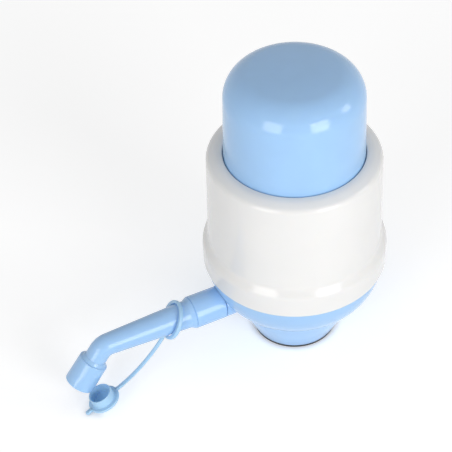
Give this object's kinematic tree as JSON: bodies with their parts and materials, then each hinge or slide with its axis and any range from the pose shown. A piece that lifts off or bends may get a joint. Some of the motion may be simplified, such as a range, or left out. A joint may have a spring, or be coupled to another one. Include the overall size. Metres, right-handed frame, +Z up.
{
  "type": "water jug hand pump",
  "caption": "Press-cap hand pump for a water jug: bellows and valves in a round housing, neck cone with gasket, turning bent spout and tethered dust cap.",
  "frame": {"origin": "on the pump's axis, in the plane of the gasket lip that it rests on, at the mouth of the jug-neck bore", "axes": "+Z up along the pump's axis, spout along -X, dust cap hanging towards -Y"},
  "size_m": [0.1883, 0.1, 0.175],
  "materials": {
    "blue_plastic": "smooth gloss, injection moulded",
    "white_plastic": "smooth gloss, injection moulded",
    "inner_plastic": "plain moulded",
    "black_rubber": "matt rubber",
    "bellows_rubber": "matt rubber",
    "steel": "bright zinc plate",
    "tether_plastic": "soft satin moulding"
  },
  "bodies": {
    "pump_body": {"housing_shell": "white_plastic", "valve_deck": "inner_plastic", "deck_screws": "steel", "deck_seal": "black_rubber", "housing_seal": "black_rubber", "base_bowl": "blue_plastic", "water_elbow": "inner_plastic", "elbow_screw": "steel", "elbow_seal": "black_rubber", "valve_clip": "steel", "neck_cone": "blue_plastic", "neck_gasket": "black_rubber", "neck_washer": "black_rubber", "bellows": "bellows_rubber", "bellows_base_ring": "inner_plastic", "base_ring_screws": "steel", "return_spring": "steel"},
    "cap": {"push_cap": "blue_plastic", "pressing_plate": "inner_plastic", "plate_screws": "steel", "bellows_top_ring": "inner_plastic"},
    "intake": {"intake_valve": "black_rubber"},
    "outlet": {"outlet_valve": "black_rubber"},
    "spout": {"spout_arm": "blue_plastic", "spout_seals": "black_rubber", "spout_nozzle": "blue_plastic"},
    "ring": {"tether_ring": "tether_plastic"},
    "strap": {"cap_strap": "tether_plastic"},
    "dust": {"dust_cap": "tether_plastic"}
  },
  "joints": [
    {"name": "cap_press", "type": "slide", "parent": "pump_body", "child": "cap", "axis": [0, 0, -1], "range_m": [0, 0.03], "stiffness_N_per_m": 900, "springref_m": -0.008, "deforming": ["bellows", "return_spring"]},
    {"name": "intake_lift", "type": "slide", "parent": "cap", "child": "intake", "axis": [0, 0, -1], "range_m": [0, 0.0015], "stiffness_N_per_m": 60, "springref_m": -0.001},
    {"name": "outlet_lift", "type": "slide", "parent": "pump_body", "child": "outlet", "axis": [0, 0, -1], "range_m": [0, 0.0015], "stiffness_N_per_m": 60, "springref_m": -0.001},
    {"name": "spout_turn", "type": "hinge", "parent": "pump_body", "child": "spout", "pos_m": [-0.0457, 0, 0.0349], "axis": [-1, 0, 0], "range_deg": [-90, 90]},
    {"name": "tether_turn", "type": "hinge", "parent": "spout", "child": "ring", "pos_m": [-0.075, 0, 0.0349], "axis": [-1, 0, 0], "range_deg": [0, 120]},
    {"name": "strap_flex", "type": "hinge", "parent": "ring", "child": "strap", "pos_m": [-0.08099, 0.00122, 0.02295], "axis": [0.4021, -0.8667, -0.2951], "range_deg": [0, 35], "stiffness_Nm_per_rad": 0.08, "springref_deg": -2.86},
    {"name": "dust_cap_flex", "type": "hinge", "parent": "strap", "child": "dust", "pos_m": [-0.11175, -0.00818, 0.00864], "axis": [0.0898, -0.979, 0.1833], "range_deg": [0, 45], "stiffness_Nm_per_rad": 0.02, "springref_deg": -2.86}
  ]
}
